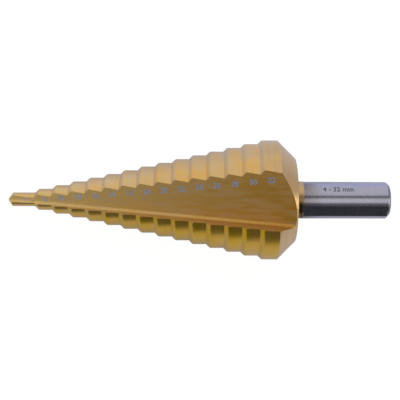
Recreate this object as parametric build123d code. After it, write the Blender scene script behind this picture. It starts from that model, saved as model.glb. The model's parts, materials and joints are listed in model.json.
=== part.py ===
from build123d import *
from build123d.topology import SkipClean
from math import asin, cos, degrees, radians, sin, tan
import os

# A step drill with two straight V flutes and a three-flat shank, made from one
# piece of steel. It is built along X with the tip at X = 0 and the mouth of one
# flute facing +Z, then laid down on its other flute, as it comes to rest on a
# table. Millimetres and degrees. Steps are counted from 0.

# Stepped cone
FIRST_DIAMETER = 4.0
DIAMETER_RISE = 2.0  # from one step to the next
STEP_COUNT = 15
STEP_PITCH = 4.54
FIRST_SHOULDER = 7.05  # from the tip to the end of the first land
LAST_LAND_LENGTH = 3.93
RAMP_ANGLE = 45.0  # of the ramps and of the back cone, from the axis
BACK_CONE_LENGTH = 4.9

# Form relief: each land is turned about an axis of its own, shifted towards the
# middle of the flute that it follows, so that it falls away behind its edge.
RELIEF_SHIFT = 0.22
RELIEF_JOIN_ANGLE = 21.0  # inside the flute, from the middle of its mouth, where
# the surfaces of the two lands would meet

# Flutes: a V-shaped wheel runs along a root line that lies in an axial plane
ROOT_SIDE_ANGLE = 36.3  # of that plane, from the middle of the flute's mouth
ROOT_HEIGHT = 0.6  # of the root line over the axis, at the tip
ROOT_RISE_ANGLE = 8.55  # of the root line, from the drill's axis
RAKE_WALL_ANGLE = 22.2  # of the wall under the cutting edge, from the radius
FLUTE_ANGLE = 83.6  # between the rake wall and the floor
ROOT_RADIUS = 0.85

# Point
POINT_ANGLE = 118.0
CHISEL_ANGLE = 55.0  # between a lip and the chisel edge
CHISEL_FLAT = 0.2  # how far the sharp point is ground back
HEEL_FACET_TURN = 100.0  # from a lip to the steepest way down its heel facet
HEEL_FACET_ANGLE = 43.5  # from square to the axis

# Neck and shank
SHANK_DIAMETER = 9.85
OVERALL_LENGTH = 100.8
NECK_LENGTH = 2.15
NECK_FILLET = 0.5
SHANK_CHAMFER = 0.8
FLAT_COUNT = 3
FLAT_DEPTH = 0.3
FLAT_TURN = -39.4  # of the first flat, from the middle of the flute's mouth

# Worked out from the sizes above
RAMP_LENGTH = DIAMETER_RISE / 2 / tan(radians(RAMP_ANGLE))
LAST_CORNER = FIRST_SHOULDER + (STEP_COUNT - 2) * STEP_PITCH + RAMP_LENGTH
CONE_START = LAST_CORNER + LAST_LAND_LENGTH
BACK_FACE = CONE_START + BACK_CONE_LENGTH
FLAT_START = BACK_FACE + NECK_LENGTH
ROOT_RISE = tan(radians(ROOT_RISE_ANGLE))  # for each millimetre along the drill
LAST_RADIUS = (FIRST_DIAMETER + (STEP_COUNT - 1) * DIAMETER_RISE) / 2
BACK_FACE_RADIUS = LAST_RADIUS - BACK_CONE_LENGTH * tan(radians(RAMP_ANGLE))
SHANK_RADIUS = SHANK_DIAMETER / 2
REACH = 3 * LAST_RADIUS  # more than any cut needs
TINY = 0.01  # for finding an edge or a corner by its place


def step_radius(step):
    """Radius of a step at its cutting edge."""
    return (FIRST_DIAMETER + step * DIAMETER_RISE) / 2


def land_end(step):
    """Distance from the tip to a land's end; the last runs on under the back cone."""
    if step == STEP_COUNT - 1:
        return BACK_FACE
    return FIRST_SHOULDER + step * STEP_PITCH


def land_start(step):
    """Distance from the tip to a land's leading corner."""
    return land_end(step - 1) + RAMP_LENGTH if step else 0.0


def edge_angle(distance, radius):
    """Angle from the middle of a flute's mouth to its cutting edge."""
    root = ROOT_HEIGHT + ROOT_RISE * distance
    lean = asin(root * sin(radians(RAKE_WALL_ANGLE)) / radius)
    return ROOT_SIDE_ANGLE - RAKE_WALL_ANGLE + degrees(lean)


def across(turn):
    """Unit vector square to the drill's axis, turned from +Z towards +Y."""
    return Vector(0, sin(radians(turn)), cos(radians(turn)))


def both_sides(feature):
    """A feature of one flute or land, with its twin half a turn away."""
    return feature + Rot(180, 0, 0) * feature


def turned(outline):
    """Solid of revolution about X from the (distance, radius) points of its outside."""
    start, end = outline[0][0], outline[-1][0]
    profile = make_face(Polyline((start, 0), *outline, (end, 0), close=True))
    return Rot(90, 0, 0) * revolve(profile, axis=Axis.X)


def relieved_steps():
    """Every step on the side of one land, turned about the land's own axis."""
    drop = RELIEF_SHIFT * cos(radians(edge_angle(LAST_CORNER, LAST_RADIUS)))
    outline = [
        (distance, step_radius(step) - drop)
        for step in range(STEP_COUNT)
        for distance in (land_start(step), land_end(step))
    ]
    steps = Pos(0, 0, RELIEF_SHIFT) * turned(outline)
    side = Plane(origin=(0, 0, 0), z_dir=across(-RELIEF_JOIN_ANGLE - 90))
    return split(steps, bisect_by=side, keep=Keep.TOP)


def back_cone():
    """Round blank, clear of the lands, that turns the back cone true to the axis."""
    clear = LAST_RADIUS + RELIEF_SHIFT
    cone_top = CONE_START - RELIEF_SHIFT / tan(radians(RAMP_ANGLE))
    return turned([(0, clear), (cone_top, clear), (BACK_FACE, BACK_FACE_RADIUS)])


def shank():
    """Chamfered round bar with flats for the chuck's jaws, from the neck to the end."""
    bar = turned([(FLAT_START, SHANK_RADIUS), (OVERALL_LENGTH, SHANK_RADIUS)])
    end = bar.faces().sort_by(Axis.X)[-1]
    bar = chamfer(end.edges(), SHANK_CHAMFER)
    flat = Pos(OVERALL_LENGTH, 0, SHANK_RADIUS - FLAT_DEPTH) * Box(
        REACH, REACH, REACH, align=(Align.CENTER, Align.CENTER, Align.MIN)
    )
    for number in range(FLAT_COUNT):
        bar -= Rot(-FLAT_TURN - number * 360 / FLAT_COUNT, 0, 0) * flat
    return bar


def with_shank(head):
    """The cutting head on its round neck and flatted shank."""
    neck = turned([(LAST_CORNER, SHANK_RADIUS), (FLAT_START, SHANK_RADIUS)])
    with SkipClean():  # the coating stops where the neck ends, so that line stays
        return fillet(neck_edge(head + neck), NECK_FILLET) + shank()


def neck_edge(body):
    """The inside corner where the neck meets the back face."""
    circles = body.edges().filter_by(GeomType.CIRCLE)
    return [
        edge
        for edge in circles
        if abs(edge.center().X - BACK_FACE) < TINY
        and abs(edge.radius - SHANK_RADIUS) < TINY
    ]


def flute():
    """Cutter for the flute that faces +Z: a V with a rounded root."""
    outward = across(-ROOT_SIDE_ANGLE)
    along = (Vector(1, 0, 0) + outward * ROOT_RISE).normalized()
    start = outward * ROOT_HEIGHT - along * REACH
    section = Plane(origin=start, x_dir=outward.cross(along), z_dir=along)
    rake_wall = Vector(0, REACH).rotate(Axis.Z, -RAKE_WALL_ANGLE)
    floor = rake_wall.rotate(Axis.Z, -FLUTE_ANGLE)
    vee = make_face(Polyline((0, 0), rake_wall, rake_wall + floor, floor, close=True))
    root = vee.vertices().sort_by_distance((0, 0))[0]
    vee = fillet(root, ROOT_RADIUS)
    return extrude(section * vee, OVERALL_LENGTH + 2 * REACH, dir=along)


def facet(turn, slope):
    """Cutter for one flat of the point, which falls fastest towards one turn."""
    outward = across(turn) * slope - Vector(1, 0, 0)
    plane = Plane(origin=(-CHISEL_FLAT, 0, 0), z_dir=outward)
    return plane * Box(
        REACH, REACH, REACH, align=(Align.CENTER, Align.CENTER, Align.MIN)
    )


def point_facets():
    """Cutters for the relief and heel facets behind the lip of the +Z flute."""
    lip_slope = 1 / tan(radians(POINT_ANGLE / 2))
    corner = step_radius(0) * lip_slope - CHISEL_FLAT
    lip = -edge_angle(corner, step_radius(0))
    relief_turn = lip - (90 - CHISEL_ANGLE)
    relief_slope = lip_slope / sin(radians(CHISEL_ANGLE))
    heel_slope = tan(radians(HEEL_FACET_ANGLE))
    return facet(relief_turn, relief_slope) + facet(lip - HEEL_FACET_TURN, heel_slope)


def drill():
    """The whole drill along X."""
    head = both_sides(relieved_steps()) & back_cone()
    head -= both_sides(flute())
    head -= both_sides(point_facets())
    return with_shank(head)


def table_top(body):
    """Plane under the -Z flute: both corners of the last step and one further ahead."""
    below = [corner for corner in body.vertices() if corner.Z < 0]
    last = [corner for corner in below if abs(corner.X - LAST_CORNER) < TINY]
    edge = Vector(max(last, key=lambda corner: corner.Y))
    heel = Vector(min(last, key=lambda corner: corner.Y))
    ahead = [corner for corner in below if corner.X < LAST_CORNER - TINY]
    nose = Vector(
        min(ahead, key=lambda corner: (corner.Z - edge.Z) / (LAST_CORNER - corner.X))
    )
    up = (nose - edge).cross(heel - edge).normalized()
    return Plane(origin=edge, x_dir=Vector(1, 0, 0) - up * up.X, z_dir=up)


def laid_down(body):
    """The body on the table, the middle of its bounding box's foot at the origin."""
    at_rest = table_top(body).to_local_coords(body)
    box = at_rest.bounding_box()
    middle = box.center()
    return Pos(-middle.X, -middle.Y, -box.min.Z) * at_rest


os.makedirs("parts", exist_ok=True)
step_drill = laid_down(drill())
step_drill.label = "step_drill"
export_step(step_drill, "parts/step_drill.step")
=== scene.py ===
import json
import logging
import math
from dataclasses import dataclass
from enum import Enum
from typing import Any

import bmesh
import bpy
from mathutils import Matrix, Vector
from mathutils.bvhtree import BVHTree


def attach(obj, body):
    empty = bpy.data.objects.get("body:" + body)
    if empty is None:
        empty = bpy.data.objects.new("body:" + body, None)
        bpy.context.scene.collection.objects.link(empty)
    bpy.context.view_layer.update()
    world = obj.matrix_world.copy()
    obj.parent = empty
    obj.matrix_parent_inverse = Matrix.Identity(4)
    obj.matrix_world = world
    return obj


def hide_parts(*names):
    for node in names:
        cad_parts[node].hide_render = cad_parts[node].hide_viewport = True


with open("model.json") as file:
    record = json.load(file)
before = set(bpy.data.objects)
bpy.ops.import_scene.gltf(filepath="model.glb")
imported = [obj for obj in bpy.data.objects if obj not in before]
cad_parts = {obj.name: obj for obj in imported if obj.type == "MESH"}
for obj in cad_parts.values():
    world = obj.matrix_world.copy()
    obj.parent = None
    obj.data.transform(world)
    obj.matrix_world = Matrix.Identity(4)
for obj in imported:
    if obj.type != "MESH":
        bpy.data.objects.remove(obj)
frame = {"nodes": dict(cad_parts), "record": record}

# The looks of a step drill with a gold nitride coat. Lengths are in millimetres in
# the drill's own directions: along its axis from the tip, to the side, and out
# towards the mouth of the upper flute. Meshes are in metres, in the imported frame.

MM = 0.001
BODY = "root"
NODE = "step_drill"
SHANK_MOUNT = "shank"
# Turn about the axis, in degrees, that takes the upper flute's floor square to the
# mouth of the flute.
FLOOR_LEAN = -20.5
# The least upward share of a normal on a floor, and the decimals it is told by.
UPWARD = 0.5
NORMAL_DECIMALS = 3
# How far a laser mark stands off the metal, so that the metal doesn't cover it.
MARK_LIFT = 0.012
# The view's width in pixels, and how many of them show one millimetre.
VIEW_PIXELS = 400
PIXELS_PER_MM = 3.757
# Noise runs from 0 to 1 but lies mostly near the middle, so each use of it takes
# only a part of that range.
PATCH_RANGE = (0.38, 0.62)
STREAK_RANGE = (0.3, 0.7)
ROUGHNESS_RANGE = (0.25, 0.75)
PATCH_DETAIL = 2.0
STREAK_DETAIL = 4.0
# How much of a fade is left where the second tone is at its full strength.
LEAST_FADE = 0.6

log = logging.getLogger("step_drill")

Colour = tuple[float, float, float, float]


def linear(hex_colour: str) -> Colour:
    """Turns an sRGB colour into the linear one that a shader takes.

    Args:
        hex_colour: The colour as six hex digits after a hash.

    Returns:
        Red, green, blue and an alpha of 1.
    """
    channels = [int(hex_colour[i : i + 2], 16) / 255 for i in (1, 3, 5)]
    red, green, blue = (
        c / 12.92 if c <= 0.04045 else ((c + 0.055) / 1.055) ** 2.4 for c in channels
    )
    return red, green, blue, 1.0


def add_node(
    tree: bpy.types.NodeTree, kind: str, inputs: dict[Any, Any], **settings: Any
) -> bpy.types.Node:
    """Adds a shader node with its settings, values and links.

    Args:
        tree: The node tree that gets it.
        kind: The node's type, without the ShaderNode in front.
        inputs: What each input gets: an output socket to link, or a value.
        settings: Attributes of the node itself.

    Returns:
        The new node.
    """
    node = tree.nodes.new("ShaderNode" + kind)
    for name, value in settings.items():
        setattr(node, name, value)
    for name, value in inputs.items():
        if isinstance(value, bpy.types.NodeSocket):
            tree.links.new(value, node.inputs[name])
        else:
            node.inputs[name].default_value = value
    return node


def new_material(name: str) -> tuple[bpy.types.Material, bpy.types.NodeTree]:
    """Starts an empty node material.

    Args:
        name: What the material is called.

    Returns:
        The material and its node tree.
    """
    material = bpy.data.materials.new(name)
    material.use_nodes = True
    material.node_tree.nodes.clear()
    return material, material.node_tree


def link_object(name: str, mesh: bpy.types.Mesh) -> bpy.types.Object:
    """Puts a mesh in the scene as an object at the origin.

    Args:
        name: What the object is called.
        mesh: Its mesh, in its place in the frame.

    Returns:
        The object.
    """
    piece = bpy.data.objects.new(name, mesh)
    bpy.context.scene.collection.objects.link(piece)
    return piece


@dataclass(frozen=True)
class FlatFace:
    """A flat face of a mesh: its normal and one point on it."""

    normal: Vector
    point: Vector

    @classmethod
    def widest_upward(cls, mesh: bpy.types.Mesh) -> "FlatFace":
        """Finds the flat face with the largest area that looks up.

        Args:
            mesh: The mesh, in loose triangles.

        Returns:
            The face.
        """
        areas: dict[tuple[float, ...], float] = {}
        points: dict[tuple[float, ...], Vector] = {}
        for polygon in mesh.polygons:
            if polygon.normal.z > UPWARD:
                key = tuple(round(c, NORMAL_DECIMALS) for c in polygon.normal)
                areas[key] = areas.get(key, 0.0) + polygon.area
                points[key] = polygon.center.copy()
        widest = max(areas, key=areas.get)
        return cls(Vector(widest).normalized(), points[widest])


@dataclass(frozen=True)
class DrillFrame:
    """Where the drill lies: its tip and its own three directions, in the frame."""

    tip: Vector
    along: Vector
    side: Vector
    out: Vector

    @classmethod
    def from_node(cls, node: bpy.types.Object, floor_lean: float) -> "DrillFrame":
        """Reads the drill's place from the shank's mount and the flute's floor.

        Args:
            node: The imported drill.
            floor_lean: The turn about the axis, in degrees, that takes the upper
                flute's floor square to its mouth.

        Returns:
            The drill's place.
        """
        mount = next(m for m in frame["record"]["mounts"] if m["name"] == SHANK_MOUNT)
        along = Vector(mount["axis"]).normalized()
        point = Vector(mount["pos_m"])
        start = min((vertex.co - point).dot(along) for vertex in node.data.vertices)
        floor = FlatFace.widest_upward(node.data).normal
        across = (floor - along * floor.dot(along)).normalized()
        out = Matrix.Rotation(math.radians(floor_lean), 3, along) @ across
        return cls(point + along * start, along, out.cross(along), out)

    @property
    def matrix(self) -> Matrix:
        """Takes millimetres in the drill's directions to the frame."""
        turn = Matrix((self.along, self.side, self.out)).transposed().to_4x4()
        return Matrix.Translation(self.tip) @ turn @ Matrix.Scale(MM, 4)

    def at(self, distance: float, side: float, out: float) -> Vector:
        """Point in the frame, from millimetres in the drill's directions."""
        return self.matrix @ Vector((distance, side, out))


class Lay(Enum):
    """Which way the tool left its marks on a metal surface."""

    ROUND = "round the axis"
    LENGTHWISE = "along the axis"
    CROSSWISE = "across the flats"


@dataclass(frozen=True)
class ToolMarks:
    """Fine parallel marks of turning or grinding, as relief and as streaks."""

    lay: Lay
    pitch: float
    length: float
    depth: float

    def tangent(self, place: DrillFrame) -> Vector:
        """Direction in which the marks spread a highlight."""
        return place.side if self.lay is Lay.LENGTHWISE else place.along

    def stretch(self) -> tuple[float, float, float]:
        """Tells how finely the noise of the marks is cut in each direction.

        Returns:
            Noise cells for each millimetre along, to the side and out.
        """
        fine, coarse = 1 / self.pitch, 1 / self.length
        if self.lay is Lay.LENGTHWISE:
            return coarse, fine, fine
        return fine, coarse, coarse


class Direction(Enum):
    """Which way a tone fades, by its letter in the drill's own coordinates."""

    ALONG = "X"
    SIDE = "Y"


@dataclass(frozen=True)
class Fade:
    """A tone that takes over bit by bit along one of the drill's directions."""

    tone: str
    direction: Direction
    start: float
    end: float


@dataclass(frozen=True)
class StepRings:
    """Rings of the second tone, which deepens from the start to the end of a step."""

    first_end: float
    pitch: float
    strength: float

    def added(
        self,
        tree: bpy.types.NodeTree,
        own: bpy.types.NodeSocket,
        patches: bpy.types.NodeSocket,
    ) -> bpy.types.NodeSocket:
        """Adds the rings to a soft pattern.

        Args:
            tree: The material's node tree.
            own: Millimetres in the drill's directions.
            patches: The soft pattern.

        Returns:
            The socket with both.
        """
        along = add_node(tree, "SeparateXYZ", {0: own}).outputs["X"]
        past_first = add_node(
            tree, "Math", {0: along, 1: self.first_end}, operation="SUBTRACT"
        )
        steps = add_node(
            tree, "Math", {0: past_first.outputs[0], 1: self.pitch}, operation="DIVIDE"
        )
        share = add_node(tree, "Math", {0: steps.outputs[0]}, operation="FRACT")
        raised = add_node(
            tree,
            "MapRange",
            {
                "Value": share.outputs[0],
                "To Min": -self.strength / 2,
                "To Max": self.strength / 2,
            },
        )
        both = add_node(
            tree, "Math", {0: patches, 1: raised.outputs[0]}, operation="ADD"
        )
        return both.outputs[0]


@dataclass(frozen=True)
class MetalFinish:
    """A metal with two tones in soft patches, tool marks and uneven roughness."""

    name: str
    tone: str
    second_tone: str
    patch: tuple[float, float]
    roughness: tuple[float, float]
    marks: ToolMarks
    streak_strength: float
    spread: float = 0.0
    fades: tuple[Fade, ...] = ()
    rings: StepRings | None = None

    def material(self, place: DrillFrame) -> bpy.types.Material:
        """Builds the finish as a node material.

        Args:
            place: The drill's place, which turns the pattern onto its axis.

        Returns:
            The material.
        """
        material, tree = new_material(self.name)
        own = self.own_coordinates(tree, place)
        along, across = 1 / self.patch[0], 1 / self.patch[1]
        patches = self.noise(tree, own, (along, across, across), PATCH_DETAIL)
        if self.rings is not None:
            patches = self.rings.added(tree, own, patches)
        streaks = self.noise(tree, own, self.marks.stretch(), STREAK_DETAIL)
        tone = self.toned(tree, own, patches, streaks)
        rough = add_node(
            tree,
            "MapRange",
            {
                "Value": streaks,
                "From Min": ROUGHNESS_RANGE[0],
                "From Max": ROUGHNESS_RANGE[1],
                "To Min": self.roughness[0],
                "To Max": self.roughness[1],
            },
        )
        relief = add_node(
            tree,
            "Bump",
            {"Height": streaks, "Strength": 1.0, "Distance": self.marks.depth * MM},
        )
        east, north, up = self.marks.tangent(place)
        spread = add_node(tree, "CombineXYZ", {"X": east, "Y": north, "Z": up})
        shader = add_node(
            tree,
            "BsdfPrincipled",
            {
                "Base Color": tone,
                "Metallic": 1.0,
                "Roughness": rough.outputs[0],
                "Anisotropic": self.spread,
                "Tangent": spread.outputs[0],
                "Normal": relief.outputs[0],
            },
        )
        add_node(tree, "OutputMaterial", {"Surface": shader.outputs[0]})
        return material

    @staticmethod
    def own_coordinates(
        tree: bpy.types.NodeTree, place: DrillFrame
    ) -> bpy.types.NodeSocket:
        """Gives millimetres in the drill's own directions.

        Args:
            tree: The material's node tree.
            place: The drill's place.

        Returns:
            The socket with the coordinates.
        """
        turn = place.matrix.to_3x3().normalized().transposed()
        coordinates = add_node(tree, "TexCoord", {})
        turned = add_node(
            tree,
            "Mapping",
            {
                "Vector": coordinates.outputs["Object"],
                "Location": -(turn @ place.tip) / MM,
                "Rotation": turn.to_euler(),
                "Scale": (1 / MM, 1 / MM, 1 / MM),
            },
        )
        return turned.outputs[0]

    @staticmethod
    def noise(
        tree: bpy.types.NodeTree,
        own: bpy.types.NodeSocket,
        stretch: tuple[float, float, float],
        detail: float,
    ) -> bpy.types.NodeSocket:
        """Gives a noise that is stretched in the drill's own directions.

        Args:
            tree: The material's node tree.
            own: Millimetres in the drill's directions.
            stretch: Cells for each millimetre in the three directions.
            detail: How many finer layers lie over the first.

        Returns:
            The socket with the noise.
        """
        scaled = add_node(
            tree, "VectorMath", {0: own, 1: stretch}, operation="MULTIPLY"
        )
        cells = {"Vector": scaled.outputs[0], "Scale": 1.0, "Detail": detail}
        return add_node(tree, "TexNoise", cells).outputs[0]

    def faded(
        self,
        tree: bpy.types.NodeTree,
        own: bpy.types.NodeSocket,
        colour: bpy.types.NodeSocket,
        patches: bpy.types.NodeSocket,
    ) -> bpy.types.NodeSocket:
        """Lets the tones of the fades take over from the finish's own colour.

        Args:
            tree: The material's node tree.
            own: Millimetres in the drill's directions.
            colour: The finish's own colour.
            patches: The soft pattern, from 0 to 1. The fades are weakest where it is 1.

        Returns:
            The socket with the colour.
        """
        if not self.fades:
            return colour
        parts = add_node(tree, "SeparateXYZ", {0: own})
        most = add_node(
            tree, "MapRange", {"Value": patches, "To Min": 1.0, "To Max": LEAST_FADE}
        )
        for fade in self.fades:
            share = add_node(
                tree,
                "MapRange",
                {
                    "Value": parts.outputs[fade.direction.value],
                    "From Min": fade.start,
                    "From Max": fade.end,
                },
            )
            factor = add_node(
                tree,
                "Math",
                {0: share.outputs[0], 1: most.outputs[0]},
                operation="MULTIPLY",
            )
            mixed = add_node(
                tree,
                "Mix",
                {"Factor": factor.outputs[0], "A": colour, "B": linear(fade.tone)},
                data_type="RGBA",
            )
            colour = mixed.outputs["Result"]
        return colour

    def toned(
        self,
        tree: bpy.types.NodeTree,
        own: bpy.types.NodeSocket,
        patches: bpy.types.NodeSocket,
        streaks: bpy.types.NodeSocket,
    ) -> bpy.types.NodeSocket:
        """Mixes the two tones by the patches and darkens them in the streaks.

        Args:
            tree: The material's node tree.
            own: Millimetres in the drill's directions.
            patches: The soft pattern.
            streaks: The pattern of the tool marks.

        Returns:
            The socket with the colour.
        """
        spread = add_node(
            tree,
            "MapRange",
            {
                "Value": patches,
                "From Min": PATCH_RANGE[0],
                "From Max": PATCH_RANGE[1],
            },
        )
        mixed = add_node(
            tree,
            "Mix",
            {
                "Factor": spread.outputs[0],
                "A": linear(self.tone),
                "B": linear(self.second_tone),
            },
            data_type="RGBA",
        )
        shade = add_node(
            tree,
            "MapRange",
            {
                "Value": streaks,
                "From Min": STREAK_RANGE[0],
                "From Max": STREAK_RANGE[1],
                "To Min": 1.0 - self.streak_strength,
                "To Max": 1.0,
            },
        )
        colour = self.faded(tree, own, mixed.outputs["Result"], spread.outputs[0])
        dimmed = add_node(
            tree,
            "VectorMath",
            {0: colour, "Scale": shade.outputs[0]},
            operation="SCALE",
        )
        return dimmed.outputs[0]


# Titanium nitride over turned tool steel: a pale satin gold in rings, some of
# them a deeper gold, which mirrors sharply round the drill and softly along it.
# The colour is paler at the tip and on the last step, and on the side away from the
# window a yellower gold is painted in: a painted reflection of the warm light there.
COATED_LANDS = MetalFinish(
    name="nitride_coat_turned",
    tone="#C9AA79",
    second_tone="#D1A764",
    patch=(2.6, 7.0),
    roughness=(0.30, 0.42),
    marks=ToolMarks(Lay.ROUND, pitch=0.35, length=30.0, depth=0.003),
    streak_strength=0.08,
    spread=0.6,
    fades=(
        Fade("#CFB48A", Direction.ALONG, start=45.0, end=5.0),
        Fade("#C1A174", Direction.ALONG, start=66.0, end=68.5),
        # painted reflection: a yellower gold on the side away from the window
        Fade("#CCA42A", Direction.SIDE, start=4.0, end=-5.0),
    ),
    rings=StepRings(first_end=7.05, pitch=4.54, strength=0.10),
)
# The same coat over the ground flutes: a bronze with fine lengthwise lines, pale
# at the tip and deeper towards the shank: partly the coat's own shift of hue, and
# partly a painted reflection that darkens the flute towards the shank.
COATED_FLUTES = MetalFinish(
    name="nitride_coat_ground",
    tone="#DFC07A",
    second_tone="#D6B985",
    patch=(12.0, 1.2),
    roughness=(0.48, 0.56),
    marks=ToolMarks(Lay.LENGTHWISE, pitch=0.5, length=22.0, depth=0.0015),
    streak_strength=0.06,
    spread=0.5,
    # partly painted reflection: the darkening towards the shank, beside the coat's
    # shift of hue
    fades=(Fade("#BE8A35", Direction.ALONG, start=12.0, end=80.0),),
)
# A thin coat over the turned back of the head: the grey steel shows through it, and
# it pales towards the lower side, a painted highlight of the light it mirrors there.
COATED_BACK = MetalFinish(
    name="nitride_coat_thin",
    tone="#BF9D70",
    second_tone="#BAA079",
    patch=(1.2, 12.0),
    roughness=(0.34, 0.44),
    marks=ToolMarks(Lay.ROUND, pitch=0.4, length=30.0, depth=0.003),
    streak_strength=0.06,
    spread=0.5,
    # painted highlight: the back pales to cream towards the lower side
    fades=(Fade("#DABB8C", Direction.SIDE, start=1.0, end=-7.0),),
)
# The end of the coat on the short neck: a smooth gold, with a painted shade of dark
# brown on the side that the head screens from the light.
COATED_NECK = MetalFinish(
    name="nitride_coat_neck",
    tone="#BE9F78",
    second_tone="#B8986A",
    patch=(0.8, 8.0),
    roughness=(0.30, 0.38),
    marks=ToolMarks(Lay.ROUND, pitch=0.3, length=20.0, depth=0.002),
    streak_strength=0.10,
    # painted shade: dark brown on the side that the head screens
    fades=(Fade("#3A2A18", Direction.SIDE, start=2.0, end=-1.0),),
)
# Bare tool steel, ground round: a cool grey that mirrors softly round the shank,
# with a browner, darker tone over its first few millimetres by the head.
GROUND_STEEL = MetalFinish(
    name="tool_steel_ground",
    tone="#A19FB0",
    second_tone="#9B9CAC",
    patch=(6.0, 6.0),
    roughness=(0.26, 0.29),
    marks=ToolMarks(Lay.ROUND, pitch=0.4, length=30.0, depth=0.0008),
    streak_strength=0.08,
    spread=0.5,
    fades=(Fade("#7C716C", Direction.ALONG, start=83.0, end=78.5),),
)
# Bare tool steel, milled: the flats, the end and its chamfer are darker than the
# round shank, with faint cutter marks.
MILLED_STEEL = MetalFinish(
    name="tool_steel_milled",
    tone="#6E6E79",
    second_tone="#666875",
    patch=(8.0, 3.0),
    roughness=(0.22, 0.30),
    marks=ToolMarks(Lay.CROSSWISE, pitch=0.5, length=20.0, depth=0.002),
    streak_strength=0.10,
)
# Laser marks: the beam burns through the coat and leaves a dull blue-grey oxide.
LASER_ON_COAT = MetalFinish(
    name="laser_mark_on_coat",
    tone="#C2C3D0",
    second_tone="#B8BCD0",
    patch=(0.8, 0.8),
    roughness=(0.50, 0.60),
    marks=ToolMarks(Lay.LENGTHWISE, pitch=0.2, length=2.0, depth=0.001),
    streak_strength=0.15,
)
# On bare steel the same beam leaves a darker grey.
LASER_ON_STEEL = MetalFinish(
    name="laser_mark_on_steel",
    tone="#6F6E78",
    second_tone="#666876",
    patch=(0.8, 0.8),
    roughness=(0.45, 0.55),
    marks=ToolMarks(Lay.LENGTHWISE, pitch=0.2, length=2.0, depth=0.001),
    streak_strength=0.15,
)


class Surface(Enum):
    """The kinds of surface on the drill, each with its finish."""

    LAND = COATED_LANDS
    FLUTE = COATED_FLUTES
    BACK = COATED_BACK
    NECK = COATED_NECK
    SHANK = GROUND_STEEL
    FLAT = MILLED_STEEL


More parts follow.
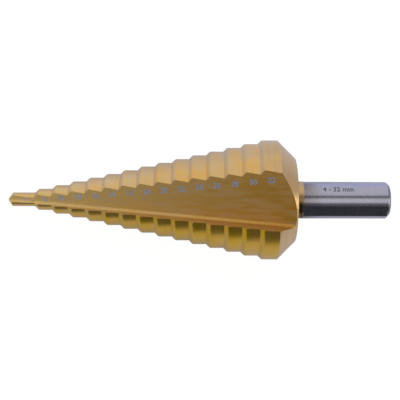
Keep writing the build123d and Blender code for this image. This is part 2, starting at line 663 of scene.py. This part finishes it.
@dataclass
class DrillBody:
    """The drill itself, with its edges broken and its surfaces told apart."""

    node: bpy.types.Object
    place: DrillFrame
    shank_start: float = 78.05
    back_start: float = 71.0
    neck_start: float = 75.8
    neck_reach: float = 5.5
    edge_break: float = 0.16
    rim_break: float = 0.3
    break_segments: int = 3
    merge_distance: float = 0.0005
    # angles between faces, in degrees
    flat_angle: float = 0.3
    sharp_angle: float = 30.0
    # shares of a face's normal that point away from the axis or along it
    shank_facing: float = 0.996
    land_facing: float = 0.97
    cone_facing: float = 0.6
    cone_slope: float = math.sqrt(0.5)
    slope_play: float = 0.03
    back_slope: float = 0.2
    slots: tuple[Surface, ...] = tuple(Surface)

    def build(self) -> bpy.types.Object:
        """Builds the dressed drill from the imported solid's own mesh.

        Returns:
            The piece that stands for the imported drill.
        """
        mesh = self.node.data.copy()
        mesh.name = "drill_body"
        mesh.materials.clear()
        for surface in self.slots:
            mesh.materials.append(surface.value.material(self.place))
        shape = bmesh.new()
        shape.from_mesh(mesh)
        bmesh.ops.remove_doubles(
            shape, verts=shape.verts, dist=self.merge_distance * MM
        )
        self.sort_surfaces(shape)
        self.join_flat_faces(shape)
        self.break_edges(shape)
        self.set_sharp_edges(shape)
        shape.to_mesh(mesh)
        shape.free()
        piece = link_object("drill_body", mesh)
        normals = piece.modifiers.new("flat_faces_stay_flat", "WEIGHTED_NORMAL")
        normals.keep_sharp = True
        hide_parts(NODE)
        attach(piece, BODY)
        return piece

    def join_flat_faces(self, shape: bmesh.types.BMesh) -> None:
        """Dissolves the edges within flat faces, up to where the surface changes.

        Args:
            shape: The drill.
        """
        bmesh.ops.dissolve_limit(
            shape,
            angle_limit=math.radians(self.flat_angle),
            verts=shape.verts,
            edges=shape.edges,
            delimit={"MATERIAL"},
        )

    def sort_surfaces(self, shape: bmesh.types.BMesh) -> None:
        """Gives each face the material slot of its kind of surface.

        Args:
            shape: The drill.
        """
        shape.normal_update()
        to_drill = self.place.matrix.inverted()
        turn = self.place.matrix.to_3x3().normalized().transposed()
        for face in shape.faces:
            centre = to_drill @ face.calc_center_median()
            kind = self.surface_of(centre, turn @ face.normal)
            face.material_index = self.slots.index(kind)

    def surface_of(self, centre: Vector, normal: Vector) -> Surface:
        """Tells what kind of surface a face is.

        Args:
            centre: The face's middle, in the drill's directions.
            normal: Its normal, in the drill's directions.

        Returns:
            The kind of surface.
        """
        radial = Vector((0.0, centre.y, centre.z)).normalized()
        facing = normal.dot(radial)
        slope = abs(normal.x)
        if centre.x > self.shank_start:
            is_round = abs(facing) > self.shank_facing
            return Surface.SHANK if is_round else Surface.FLAT
        is_round = facing > self.land_facing and slope < self.slope_play
        is_cone = (
            facing > self.cone_facing and abs(slope - self.cone_slope) < self.slope_play
        )
        if centre.x > self.neck_start and centre.yz.length < self.neck_reach:
            return Surface.NECK
        if centre.x > self.back_start and (is_cone or normal.x > self.back_slope):
            return Surface.BACK
        return Surface.LAND if is_round or is_cone else Surface.FLUTE

    def break_edges(self, shape: bmesh.types.BMesh) -> None:
        """Rounds the rims of the steps widely and the other sharp edges slightly.

        Args:
            shape: The drill.
        """
        limit = math.radians(self.sharp_angle)
        land = self.slots.index(Surface.LAND)
        for width, only_rims in ((self.rim_break, True), (self.edge_break, False)):
            sharp = [
                edge
                for edge in shape.edges
                if edge.is_manifold
                and edge.calc_face_angle() > limit
                and (not only_rims or self.is_rim(edge, land))
            ]
            bmesh.ops.bevel(
                shape,
                geom=sharp,
                offset=width * MM,
                offset_type="OFFSET",
                affect="EDGES",
                segments=self.break_segments,
                profile=0.5,
                material=-1,
                clamp_overlap=True,
            )
        bmesh.ops.dissolve_degenerate(
            shape, dist=self.merge_distance * MM, edges=shape.edges
        )

    @staticmethod
    def is_rim(edge: bmesh.types.BMEdge, land: int) -> bool:
        """Tells whether an edge runs round the large end of a step's cone."""
        return edge.is_convex and all(
            face.material_index == land for face in edge.link_faces
        )

    def set_sharp_edges(self, shape: bmesh.types.BMesh) -> None:
        """Shades smoothly, except at sharp edges and where the surface changes.

        Args:
            shape: The drill.
        """
        limit = math.radians(self.sharp_angle)
        for face in shape.faces:
            face.smooth = True
        for edge in shape.edges:
            kinds = {face.material_index for face in edge.link_faces}
            edge.smooth = len(kinds) == 1 and edge.calc_face_angle(0.0) < limit


@dataclass
class Marking:
    """One short text, cut flat in the drill's own millimetres."""

    text: str
    height: float
    boldness: float = 0.05
    strips: int = 8
    curve_steps: int = 4
    # how tall a capital letter of the built-in font is, as a share of its size
    capital_share: float = 0.7

    def flat_mesh(self) -> bpy.types.Mesh:
        """Makes the text a flat mesh in the XY plane, centred on the origin.

        Returns:
            The mesh, cut in lengthwise strips so that it can follow a curve.
        """
        curve = bpy.data.curves.new("marking", "FONT")
        curve.body = self.text
        curve.align_x = "CENTER"
        curve.align_y = "CENTER"
        curve.resolution_u = self.curve_steps
        curve.size = self.height / self.capital_share
        curve.offset = self.boldness
        holder = bpy.data.objects.new("marking", curve)
        mesh = bpy.data.meshes.new_from_object(holder)
        bpy.data.objects.remove(holder)
        bpy.data.curves.remove(curve)
        shape = bmesh.new()
        shape.from_mesh(mesh)
        for strip in range(1, self.strips):
            level = self.height * (strip / self.strips - 0.5)
            bmesh.ops.bisect_plane(
                shape,
                geom=[*shape.verts, *shape.edges, *shape.faces],
                plane_co=(0, level, 0),
                plane_no=(0, 1, 0),
            )
        shape.to_mesh(mesh)
        shape.free()
        return mesh


@dataclass
class StepNumbers:
    """The diameters marked on the floor of the upper flute, beside each step."""

    place: DrillFrame
    body: bpy.types.Mesh
    first: int = 4
    rise: int = 2
    count: int = 15
    first_distance: float = 5.24
    pitch: float = 4.54
    first_side: float = -0.2
    side_rise: float = 0.246
    side_bow: float = 0.0081
    height: float = 1.4
    boldness: float = 0.09
    # the floor beside the first step is narrow, and widest near the tip
    first_height: float = 0.8
    first_shift: tuple[float, float] = (-0.6, 0.12)
    # how high above its seat each number starts, before it settles on the flute
    drop: float = 5.0

    def build(self) -> bpy.types.Object:
        """Builds all the numbers as one piece.

        Returns:
            The piece.
        """
        shape = bmesh.new()
        floor = FlatFace.widest_upward(self.body)
        surface = BVHTree.FromPolygons(
            [vertex.co for vertex in self.body.vertices],
            [polygon.vertices for polygon in self.body.polygons],
        )
        for step in range(self.count):
            height = self.height if step else self.first_height
            text = str(self.first + step * self.rise)
            flat = Marking(text, height, self.boldness).flat_mesh()
            flat.transform(self.seat(step, floor))
            self.settle(flat, surface)
            shape.from_mesh(flat)
            bpy.data.meshes.remove(flat)
        mesh = bpy.data.meshes.new("step_numbers")
        shape.to_mesh(mesh)
        shape.free()
        mesh.materials.append(LASER_ON_COAT.material(self.place))
        piece = link_object("step_numbers", mesh)
        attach(piece, BODY)
        return piece

    def settle(self, flat: bpy.types.Mesh, surface: BVHTree) -> None:
        """Lets a number follow the flute where its floor curves up to the wall.

        Args:
            flat: The number, laid on the flat floor.
            surface: The drill's own surface.
        """
        out = self.place.out
        for vertex in flat.vertices:
            start = vertex.co + out * self.drop * MM
            spot, normal, _, _ = surface.ray_cast(start, -out)
            vertex.co = spot + normal * MARK_LIFT * MM

    def seat(self, step: int, floor: FlatFace) -> Matrix:
        """Matrix that lays a number on the flute's floor.

        Args:
            step: The step, counted from 0.
            floor: The flat part of the flute's floor.

        Returns:
            The matrix, from flat millimetres to the frame.
        """
        distance = self.first_distance + step * self.pitch
        side = self.first_side + step * (self.side_rise + step * self.side_bow)
        if step == 0:
            distance += self.first_shift[0]
            side += self.first_shift[1]
        normal = floor.normal
        start = self.place.at(distance, side, 0)
        rise = (floor.point - start).dot(normal) / self.place.out.dot(normal)
        centre = start + self.place.out * rise
        across = self.place.side.cross(normal).normalized()
        lay = Matrix((across, normal.cross(across), normal)).transposed().to_4x4()
        return Matrix.Translation(centre) @ lay @ Matrix.Scale(MM, 4)


@dataclass
class ShankMark:
    """The range of diameters, marked on a round stretch of the shank."""

    place: DrillFrame
    text: str = "4 - 32 mm"
    height: float = 1.35
    distance: float = 87.0
    turn: float = 34.0
    radius: float = 4.925

    def build(self) -> bpy.types.Object:
        """Builds the marking, wrapped round the shank.

        Returns:
            The piece.
        """
        mesh = Marking(self.text, self.height).flat_mesh()
        for vertex in mesh.vertices:
            vertex.co = self.wrapped(vertex.co)
        mesh.name = "shank_mark"
        mesh.transform(self.place.matrix)
        mesh.materials.append(LASER_ON_STEEL.material(self.place))
        piece = link_object("shank_mark", mesh)
        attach(piece, BODY)
        return piece

    def wrapped(self, point: Vector) -> Vector:
        """Takes a point of the flat text to the round shank.

        Args:
            point: The point, with the text's height along Y.

        Returns:
            The point in the drill's directions.
        """
        angle = math.radians(self.turn) + point.y / self.radius
        reach = self.radius + MARK_LIFT
        return Vector(
            (self.distance + point.x, reach * math.sin(angle), reach * math.cos(angle))
        )


@dataclass(frozen=True)
class SoftLight:
    """A flat soft light that faces the drill from some turn and lean.

    The turn is about the drill's axis, from square over the upper flute towards the
    side, and the lean is from there towards the shank.
    """

    name: str
    turn: float
    lean: float
    distance: float
    width: float
    length: float
    brightness: float
    colour: str

    def build(self, place: DrillFrame, aim_distance: float) -> None:
        """Adds the light to the scene.

        Args:
            place: The drill's place.
            aim_distance: How far from the tip the light aims, in millimetres.
        """
        turn, lean = math.radians(self.turn), math.radians(self.lean)
        middle = place.at(aim_distance, 0, 0)
        across = place.out * math.cos(turn) + place.side * math.sin(turn)
        back = across * math.cos(lean) + place.along * math.sin(lean)
        lengthwise = place.along * math.cos(lean) - across * math.sin(lean)
        spot = middle + back * self.distance * MM
        light = bpy.data.lights.new(self.name, "AREA")
        light.shape = "RECTANGLE"
        light.size = self.length * MM
        light.size_y = self.width * MM
        # a flat light of this power shows its brightness to whatever faces it
        light.energy = self.brightness * math.pi * light.size * light.size_y
        light.color = linear(self.colour)[:3]
        holder = bpy.data.objects.new(self.name, light)
        aimed = Matrix((lengthwise, back.cross(lengthwise), back)).transposed()
        holder.matrix_world = Matrix.Translation(spot) @ aimed.to_4x4()
        holder.visible_camera = False
        bpy.context.scene.collection.objects.link(holder)


@dataclass(frozen=True)
class WhitePaper:
    """White paper: white to the camera, and in the metal as the lamps light it."""

    tone: str = "#F2F2F2"
    dark_side_tone: str = "#F4F4FF"
    light_side_tone: str = "#E1E7FF"
    # how much of the paper glows by itself, and how bright it is to the camera
    glow_share: float = 0.8
    white: float = 1.17
    # its brightness in the metal, away from the window and near it
    brightness: tuple[float, float] = (0.9, 1.45)
    # half the width of the blend between the two sides
    blend: float = 20.0
    # the deepest shadow by the drill: its brightness, and how open the sky is there
    shadow_share: float = 0.3
    shadow_openness: float = 0.45
    shadow_reach: float = 40.0
    shadow_samples: int = 8

    def material(self) -> bpy.types.Material:
        """Builds the paper as a node material.

        Returns:
            The material. It keeps a soft shadow in all rays.
        """
        material, tree = new_material("white_paper")
        rays = add_node(tree, "LightPath", {})
        matt = add_node(
            tree, "BsdfDiffuse", {"Color": linear(self.tone), "Roughness": 1.0}
        )
        bright = add_node(
            tree, "Emission", {"Color": (1, 1, 1, 1), "Strength": self.white}
        )
        mirrored = add_node(
            tree,
            "Math",
            {0: rays.outputs["Is Glossy Ray"], 1: rays.outputs["Is Transmission Ray"]},
            operation="MAXIMUM",
        )
        surface = matt.outputs[0]
        for seen, glow in (
            (mirrored.outputs[0], self.lit(tree)),
            (rays.outputs["Is Camera Ray"], bright.outputs[0]),
        ):
            share = add_node(
                tree, "Math", {0: seen, 1: self.glow_share}, operation="MULTIPLY"
            )
            mixed = add_node(
                tree, "MixShader", {0: share.outputs[0], 1: surface, 2: glow}
            )
            surface = mixed.outputs[0]
        add_node(tree, "OutputMaterial", {"Surface": surface})
        return material

    def lit(self, tree: bpy.types.NodeTree) -> bpy.types.NodeSocket:
        """Gives the paper's brightness, less away from the window and by the drill.

        Args:
            tree: The paper's node tree.

        Returns:
            The socket with the emission.
        """
        coordinates = add_node(tree, "TexCoord", {})
        place = add_node(tree, "SeparateXYZ", {0: coordinates.outputs["Object"]})
        nearness = add_node(
            tree,
            "MapRange",
            {
                "Value": place.outputs["Y"],
                "From Min": -self.blend * MM,
                "From Max": self.blend * MM,
            },
        )
        colour = add_node(
            tree,
            "Mix",
            {
                "Factor": nearness.outputs[0],
                "A": linear(self.dark_side_tone),
                "B": linear(self.light_side_tone),
            },
            data_type="RGBA",
        )
        strength = add_node(
            tree,
            "MapRange",
            {
                "Value": nearness.outputs[0],
                "To Min": self.brightness[0],
                "To Max": self.brightness[1],
            },
        )
        openness = add_node(
            tree,
            "AmbientOcclusion",
            {"Distance": self.shadow_reach * MM},
            samples=self.shadow_samples,
        )
        shade = add_node(
            tree,
            "MapRange",
            {
                "Value": openness.outputs["AO"],
                "From Min": self.shadow_openness,
                "To Min": self.shadow_share,
            },
        )
        shaded = add_node(
            tree,
            "Math",
            {0: strength.outputs[0], 1: shade.outputs[0]},
            operation="MULTIPLY",
        )
        emission = add_node(
            tree,
            "Emission",
            {"Color": colour.outputs["Result"], "Strength": shaded.outputs[0]},
        )
        return emission.outputs[0]


# A broad window on the drill's side, and a softbox near the camera that lights the
# root of the flute and the shank.
WINDOW = SoftLight(
    name="window",
    turn=61.0,
    lean=0.0,
    distance=600.0,
    width=840.0,
    length=1300.0,
    brightness=0.95,
    colour="#FFFEFA",
)
TOP_LIGHT = SoftLight(
    name="top",
    turn=-4.0,
    lean=0.0,
    distance=700.0,
    width=370.0,
    length=900.0,
    brightness=1.15,
    colour="#FFFCF6",
)
# Small lamps off the tip and off the shank's end pick out the point, the neck and
# the end of the head.
TIP_LAMP = SoftLight(
    name="tip_lamp",
    turn=-42.0,
    lean=-42.0,
    distance=700.0,
    width=300.0,
    length=300.0,
    brightness=1.2,
    colour="#FFFCF6",
)
SHANK_FILL = SoftLight(
    name="shank_fill",
    turn=0.0,
    lean=90.0,
    distance=600.0,
    width=600.0,
    length=260.0,
    brightness=0.7,
    colour="#FFECC8",
)
SHANK_LAMP = SoftLight(
    name="shank_lamp",
    turn=-90.0,
    lean=86.0,
    distance=500.0,
    width=200.0,
    length=140.0,
    brightness=3.3,
    colour="#FFFDF2",
)


@dataclass
class Studio:
    """A pale floor, a camera square to the drill's axis and soft lights."""

    place: DrillFrame
    aim_distance: float = 50.84
    aim_side: float = -0.085
    camera_distance: float = 226.2
    view_width: float = VIEW_PIXELS / PIXELS_PER_MM
    sensor_width: float = 36.0
    # the camera draws nothing that is nearer to it than this
    nearest: float = 10.0
    roll: float = 0.135
    floor_size: float = 3000.0
    paper: WhitePaper = WhitePaper()
    # the world's strength on the drill, and as the camera sees it
    sky_strength: float = 0.15
    backdrop_strength: float = 1.0
    lights: tuple[SoftLight, ...] = (
        WINDOW,
        TOP_LIGHT,
        TIP_LAMP,
        SHANK_FILL,
        SHANK_LAMP,
    )

    def build(self) -> None:
        """Builds the floor, the lights, the world and the camera."""
        self.build_floor()
        self.build_lights()
        self.build_world()
        self.build_camera()

    def build_floor(self) -> None:
        """Lays a matt white floor under the drill."""
        shape = bmesh.new()
        bmesh.ops.create_grid(
            shape, x_segments=1, y_segments=1, size=self.floor_size * MM / 2
        )
        mesh = bpy.data.meshes.new("floor")
        shape.to_mesh(mesh)
        shape.free()
        mesh.materials.append(self.paper.material())
        link_object("floor", mesh)

    def build_lights(self) -> None:
        """Hangs the window and top lights, and the lamps off the tip and shank."""
        for light in self.lights:
            light.build(self.place, self.aim_distance)

    def build_world(self) -> None:
        """Sets a dim even sky, which shows white behind the floor's edge."""
        world = bpy.data.worlds.new("studio")
        world.use_nodes = True
        tree = world.node_tree
        tree.nodes.clear()
        rays = add_node(tree, "LightPath", {})
        strength = add_node(
            tree,
            "MapRange",
            {
                "Value": rays.outputs["Is Camera Ray"],
                "To Min": self.sky_strength,
                "To Max": self.backdrop_strength,
            },
        )
        sky = add_node(
            tree,
            "Background",
            {"Color": (1, 1, 1, 1), "Strength": strength.outputs[0]},
        )
        add_node(tree, "OutputWorld", {"Surface": sky.outputs[0]})
        bpy.context.scene.world = world

    def build_camera(self) -> None:
        """Hangs the camera over the upper flute, with the drill level in view."""
        camera = bpy.data.cameras.new("camera")
        camera.sensor_width = self.sensor_width
        camera.lens = self.sensor_width * self.camera_distance / self.view_width
        camera.clip_start = self.nearest * MM
        holder = bpy.data.objects.new("camera", camera)
        spot = self.place.at(self.aim_distance, self.aim_side, self.camera_distance)
        turn = Matrix((self.place.along, self.place.side, self.place.out)).transposed()
        roll = Matrix.Rotation(math.radians(self.roll), 3, "Z")
        holder.matrix_world = Matrix.Translation(spot) @ (turn @ roll).to_4x4()
        bpy.context.scene.collection.objects.link(holder)
        bpy.context.scene.camera = holder
        bpy.context.scene.view_settings.view_transform = "Standard"


def main() -> None:
    """Builds the dressed drill and its studio."""
    logging.basicConfig(level=logging.INFO, format="%(name)s: %(message)s")
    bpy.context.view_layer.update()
    node = frame["nodes"][NODE]
    place = DrillFrame.from_node(node, FLOOR_LEAN)
    log.info("tip at %s, axis %s", place.tip[:], place.along[:])
    for part in (
        DrillBody(node, place),
        StepNumbers(place, node.data),
        ShankMark(place),
    ):
        piece = part.build()
        log.info("%s: %d faces", piece.name, len(piece.data.polygons))
    Studio(place).build()


if __name__ == "__main__":
    main()
